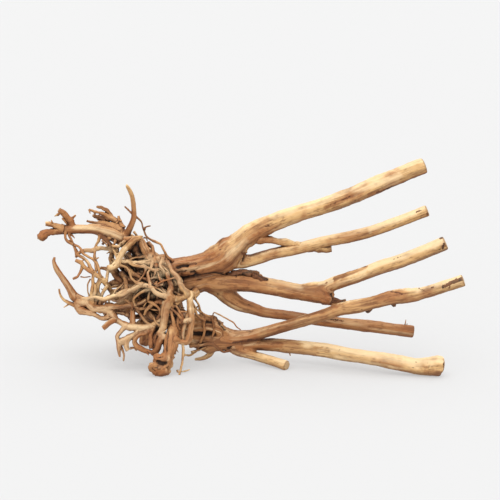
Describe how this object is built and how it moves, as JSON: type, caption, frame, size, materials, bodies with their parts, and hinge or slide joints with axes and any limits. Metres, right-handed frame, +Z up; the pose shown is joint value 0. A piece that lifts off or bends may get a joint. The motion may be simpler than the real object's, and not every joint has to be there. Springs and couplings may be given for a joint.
{
  "type": "tree stump",
  "caption": "Peeled, weathered tree stump lying on its side: a root crown with a tangle of roots at one end and sawn-off stems that fan out at the other.",
  "frame": {"origin": "middle of the stump's own box across and from front to back, on the surface that it lies on", "axes": "+X to the right along the stems towards their sawn ends, +Y away from the front, +Z up"},
  "size_m": [0.8393, 0.2682, 0.4084],
  "materials": {
    "wood": "bare weathered wood, peeled, matt, with traces of dark bark"
  },
  "bodies": {
    "root": {"stump": "wood"}
  },
  "joints": []
}
